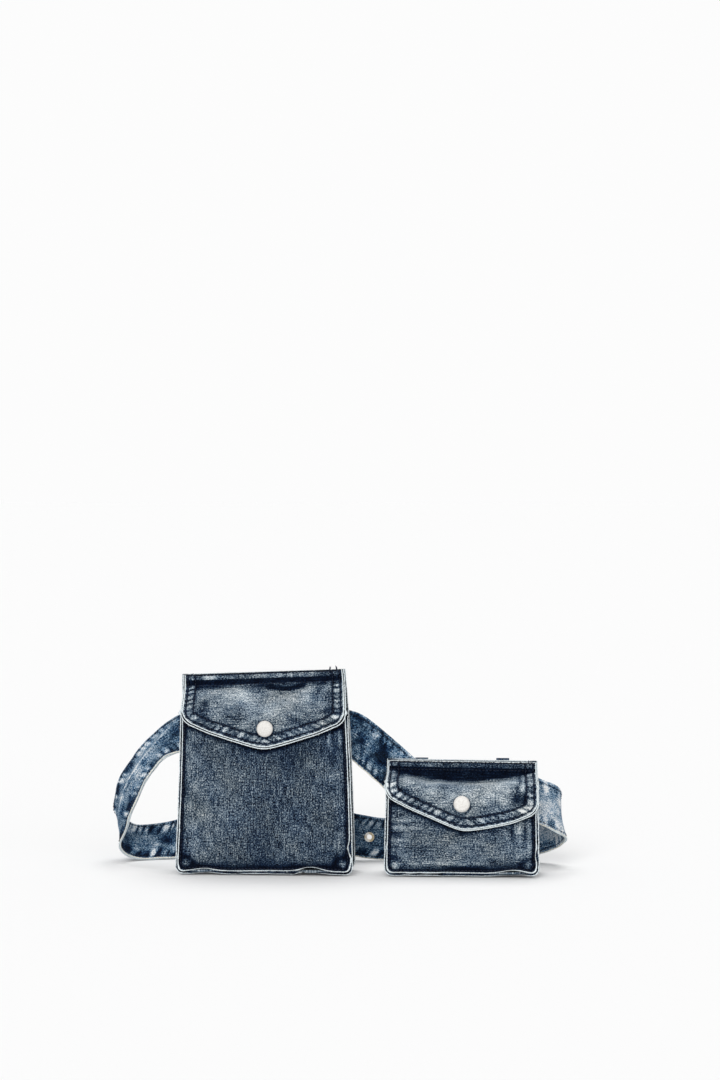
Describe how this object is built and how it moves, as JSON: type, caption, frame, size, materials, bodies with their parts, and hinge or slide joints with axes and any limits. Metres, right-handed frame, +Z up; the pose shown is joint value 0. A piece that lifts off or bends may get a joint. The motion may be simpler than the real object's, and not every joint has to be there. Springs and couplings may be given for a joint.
{
  "type": "waist pack",
  "caption": "Washed denim belt bag: a tall and a low snap-flap pouch that slide on a buckled belt with eyelets.",
  "frame": {"origin": "on the floor under the middle of the whole pack's box", "axes": "+Z up, +X along the belt towards the small pouch, -Y out of the pouch fronts"},
  "size_m": [0.425, 0.107, 0.182],
  "materials": {
    "pouch_denim": "stone-washed indigo denim, raw cream seam edges",
    "belt_denim": "mottled washed indigo denim, raw cream lower edge",
    "nickel": "dull nickel plate",
    "snap_cap": "pale satin metal"
  },
  "bodies": {
    "belt": {"belt_strap": "belt_denim", "belt_eyelets": "nickel", "buckle_frame": "nickel"},
    "prong": {"buckle_prong": "nickel"},
    "keeper": {"belt_keeper": "belt_denim"},
    "big_pouch": {"big_front_panel": "pouch_denim", "big_gusset": "pouch_denim", "big_back_panel": "pouch_denim", "big_flap_band": "pouch_denim", "big_belt_loop_left": "belt_denim", "big_belt_loop_right": "belt_denim", "big_snap_post": "nickel", "big_snap_stud": "nickel"},
    "big_flap": {"big_flap_outer": "pouch_denim", "big_flap_facing": "pouch_denim", "big_snap_socket": "nickel", "big_snap_spring": "nickel", "big_snap_cap": "snap_cap"},
    "small_pouch": {"small_front_panel": "pouch_denim", "small_gusset": "pouch_denim", "small_back_panel": "pouch_denim", "small_flap_band": "pouch_denim", "small_belt_loop_left": "belt_denim", "small_belt_loop_right": "belt_denim", "small_snap_post": "nickel", "small_snap_stud": "nickel"},
    "small_flap": {"small_flap_outer": "pouch_denim", "small_flap_facing": "pouch_denim", "small_snap_socket": "nickel", "small_snap_spring": "nickel", "small_snap_cap": "snap_cap"}
  },
  "joints": [
    {"name": "big_pouch_slide", "type": "slide", "parent": "belt", "child": "big_pouch", "axis": [1, 0, 0], "range_m": [-0.008, 0.008]},
    {"name": "small_pouch_slide", "type": "slide", "parent": "belt", "child": "small_pouch", "axis": [1, 0, 0], "range_m": [0, 0.008]},
    {"name": "big_flap_hinge", "type": "hinge", "parent": "big_pouch", "child": "big_flap", "pos_m": [-0.06, -0.0189, 0.17], "axis": [-1, 0, 0], "range_deg": [0, 135]},
    {"name": "small_flap_hinge", "type": "hinge", "parent": "small_pouch", "child": "small_flap", "pos_m": [0.121, -0.0189, 0.091], "axis": [-1, 0, 0], "range_deg": [0, 112]},
    {"name": "prong_hinge", "type": "hinge", "parent": "belt", "child": "prong", "pos_m": [-0.034, 0.0433, 0.026], "axis": [0, 0, 1], "range_deg": [0, 7]},
    {"name": "keeper_slide", "type": "slide", "parent": "belt", "child": "keeper", "axis": [1, 0, 0], "range_m": [-0.01, 0.002]}
  ]
}
